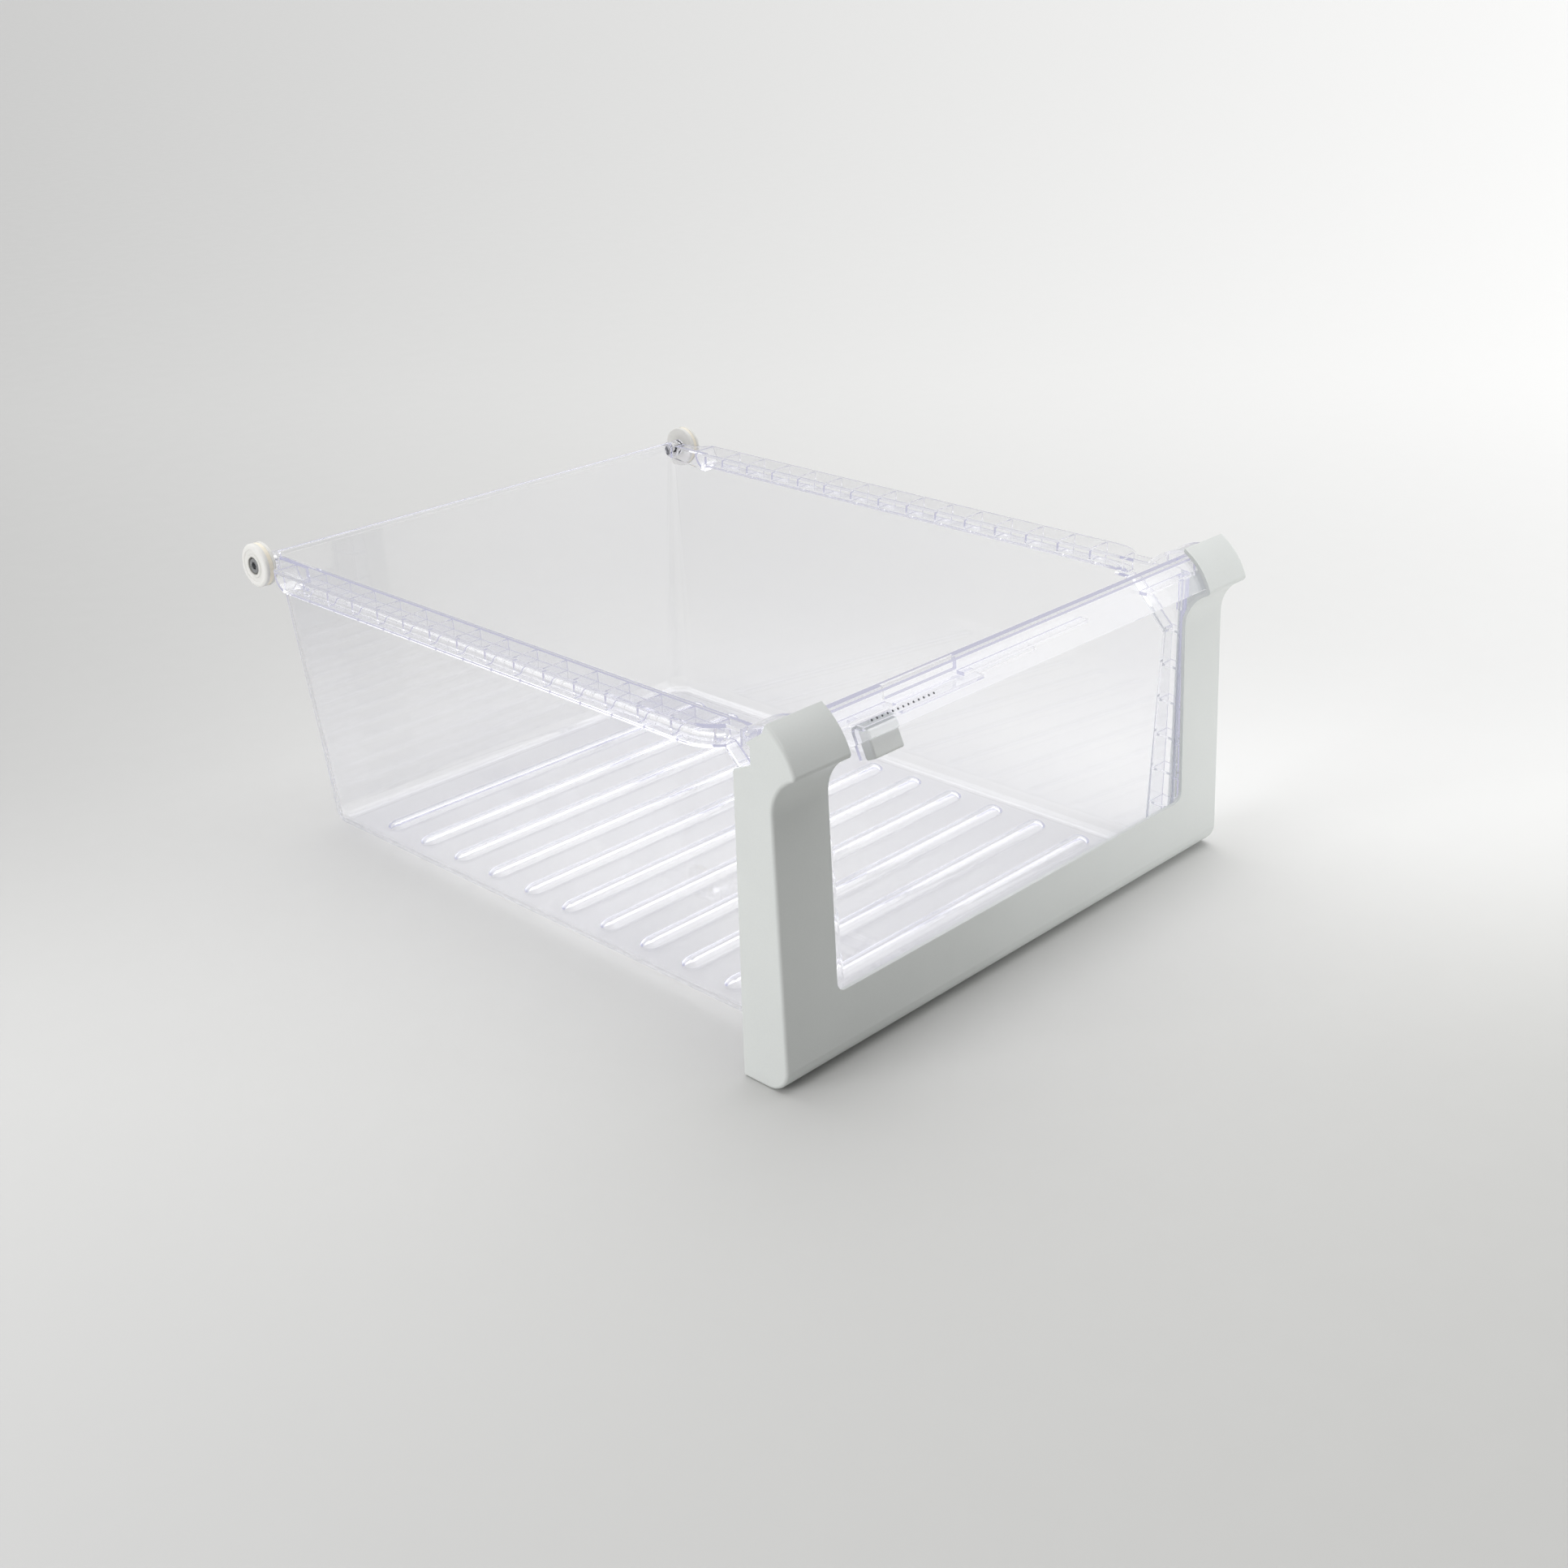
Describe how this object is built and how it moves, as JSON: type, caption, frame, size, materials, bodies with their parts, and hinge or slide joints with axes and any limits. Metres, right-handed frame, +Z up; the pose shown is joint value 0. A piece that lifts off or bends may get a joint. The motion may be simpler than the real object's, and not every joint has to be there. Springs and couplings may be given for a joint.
{
  "type": "fridge crisper drawer",
  "caption": "Clear tapered fridge drawer with a ridged floor, ribbed side rails, rear rollers, a grey window frame with a curved pull lip, and a sliding humidity shutter.",
  "frame": {"origin": "middle of the footprint on the surface that the drawer stands on", "axes": "+X to the right seen from the front, +Y from the pull lip to the rear rollers, +Z up"},
  "size_m": [0.39, 0.4806, 0.2015],
  "materials": {
    "clear_plastic": "clear, glossy",
    "clear_shutter": "clear, glossy",
    "grey_plastic": "satin",
    "knob_plastic": "fine grained",
    "white_plastic": "semi-gloss",
    "tan_band": "matt",
    "steel": "plated"
  },
  "bodies": {
    "drawer": {"bin": "clear_plastic", "front_frame": "grey_plastic", "left_roller_screw": "steel", "right_roller_screw": "steel"},
    "humidity_slider": {"humidity_knob": "knob_plastic", "humidity_shutter": "clear_shutter"},
    "left_wheel": {"left_roller": "white_plastic", "left_roller_band": "tan_band"},
    "right_wheel": {"right_roller": "white_plastic", "right_roller_band": "tan_band"}
  },
  "joints": [
    {"name": "humidity_slide", "type": "slide", "parent": "drawer", "child": "humidity_slider", "axis": [1, 0, 0], "range_m": [-0.0066, 0.0405]},
    {"name": "left_wheel_spin", "type": "hinge", "parent": "drawer", "child": "left_wheel", "pos_m": [-0.1809, 0.2266, 0.1802], "axis": [1, 0, 0], "continuous": true},
    {"name": "right_wheel_spin", "type": "hinge", "parent": "drawer", "child": "right_wheel", "pos_m": [0.1809, 0.2266, 0.1802], "axis": [1, 0, 0], "continuous": true}
  ]
}
